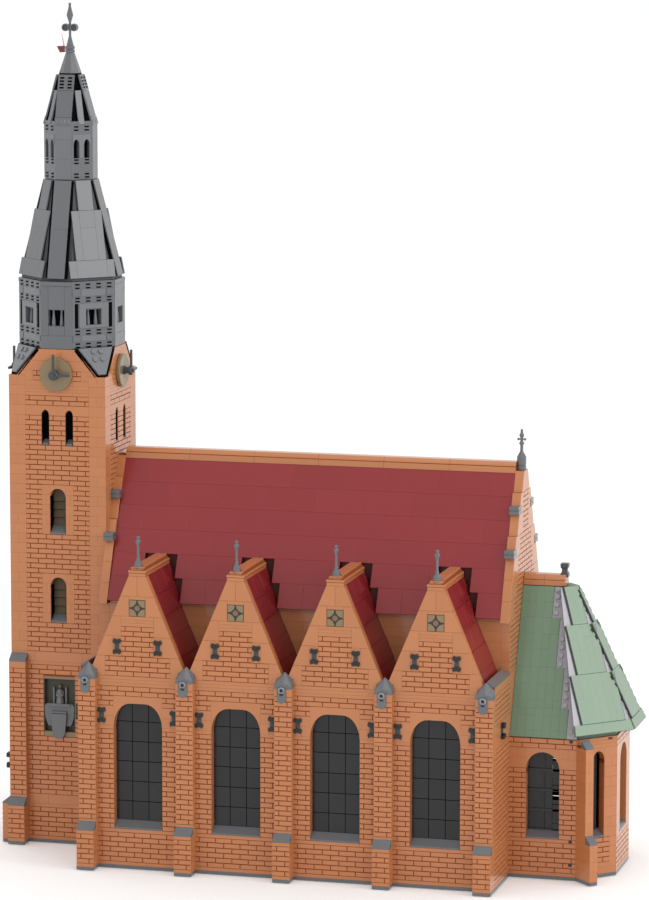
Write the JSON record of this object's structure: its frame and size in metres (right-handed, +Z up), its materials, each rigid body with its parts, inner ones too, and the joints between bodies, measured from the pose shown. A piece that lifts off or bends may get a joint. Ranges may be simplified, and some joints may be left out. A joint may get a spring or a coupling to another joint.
{
  "type": "brick-built display model of a gothic church",
  "caption": "Display model of a gothic brick church in small plastic building bricks: clock tower with spire, gabled aisles, steep roof and polygonal apse.",
  "frame": {"origin": "on the ground, in the middle of the model's bounding box", "axes": "+Z up; +X along the nave, from the tower to the apse; -Y faces the side with the statue niche"},
  "size_m": [0.615, 0.288, 0.8109],
  "materials": {
    "clay_brick": "smooth moulded plastic, clay orange",
    "slate_grey": "smooth moulded plastic, slate grey",
    "dark_red": "smooth moulded plastic, dark red",
    "pale_green": "smooth moulded plastic, pale grey-green",
    "olive_tan": "smooth moulded plastic, dark tan",
    "smoke_glass": "dark clear plastic"
  },
  "bodies": {
    "root": {"base_plate": "slate_grey", "aisle_bay_south_1": "clay_brick", "aisle_bay_south_2": "clay_brick", "aisle_bay_south_3": "clay_brick", "aisle_bay_south_4": "clay_brick", "aisle_bay_north_1": "clay_brick", "aisle_bay_north_2": "clay_brick", "aisle_bay_north_3": "clay_brick", "aisle_bay_north_4": "clay_brick", "aisle_glazing_south": "smoke_glass", "aisle_glazing_north": "smoke_glass", "aisle_roof_south": "dark_red", "aisle_roof_north": "dark_red", "nave_wall_east": "clay_brick", "nave_wall_west": "clay_brick", "east_gable_finial": "slate_grey", "clerestory_wall_south": "clay_brick", "clerestory_wall_north": "clay_brick", "main_roof_south": "dark_red", "main_roof_north": "dark_red", "main_roof_ridge": "clay_brick", "chancel_wall_south": "clay_brick", "chancel_wall_north": "clay_brick", "apse_wall_southeast": "clay_brick", "apse_wall_east": "clay_brick", "apse_wall_northeast": "clay_brick", "apse_buttress_southeast": "clay_brick", "apse_buttress_northeast": "clay_brick", "chancel_roof": "pale_green", "apse_roof": "pale_green", "chancel_ridge": "clay_brick", "tower_wall_south": "clay_brick", "tower_wall_east": "clay_brick", "tower_wall_north": "clay_brick", "tower_wall_west": "clay_brick", "tower_buttress_southwest": "clay_brick", "tower_buttress_northwest": "clay_brick", "tower_crown": "slate_grey", "niche_bracket": "slate_grey", "niche_statue": "slate_grey", "clock_south": "olive_tan", "clock_east": "olive_tan", "clock_north": "olive_tan", "clock_west": "olive_tan", "lantern_drum": "slate_grey", "spire_skirt": "slate_grey", "upper_lantern": "slate_grey", "upper_spire": "slate_grey", "spire_finial": "slate_grey", "vane_flag": "dark_red"}
  },
  "joints": []
}
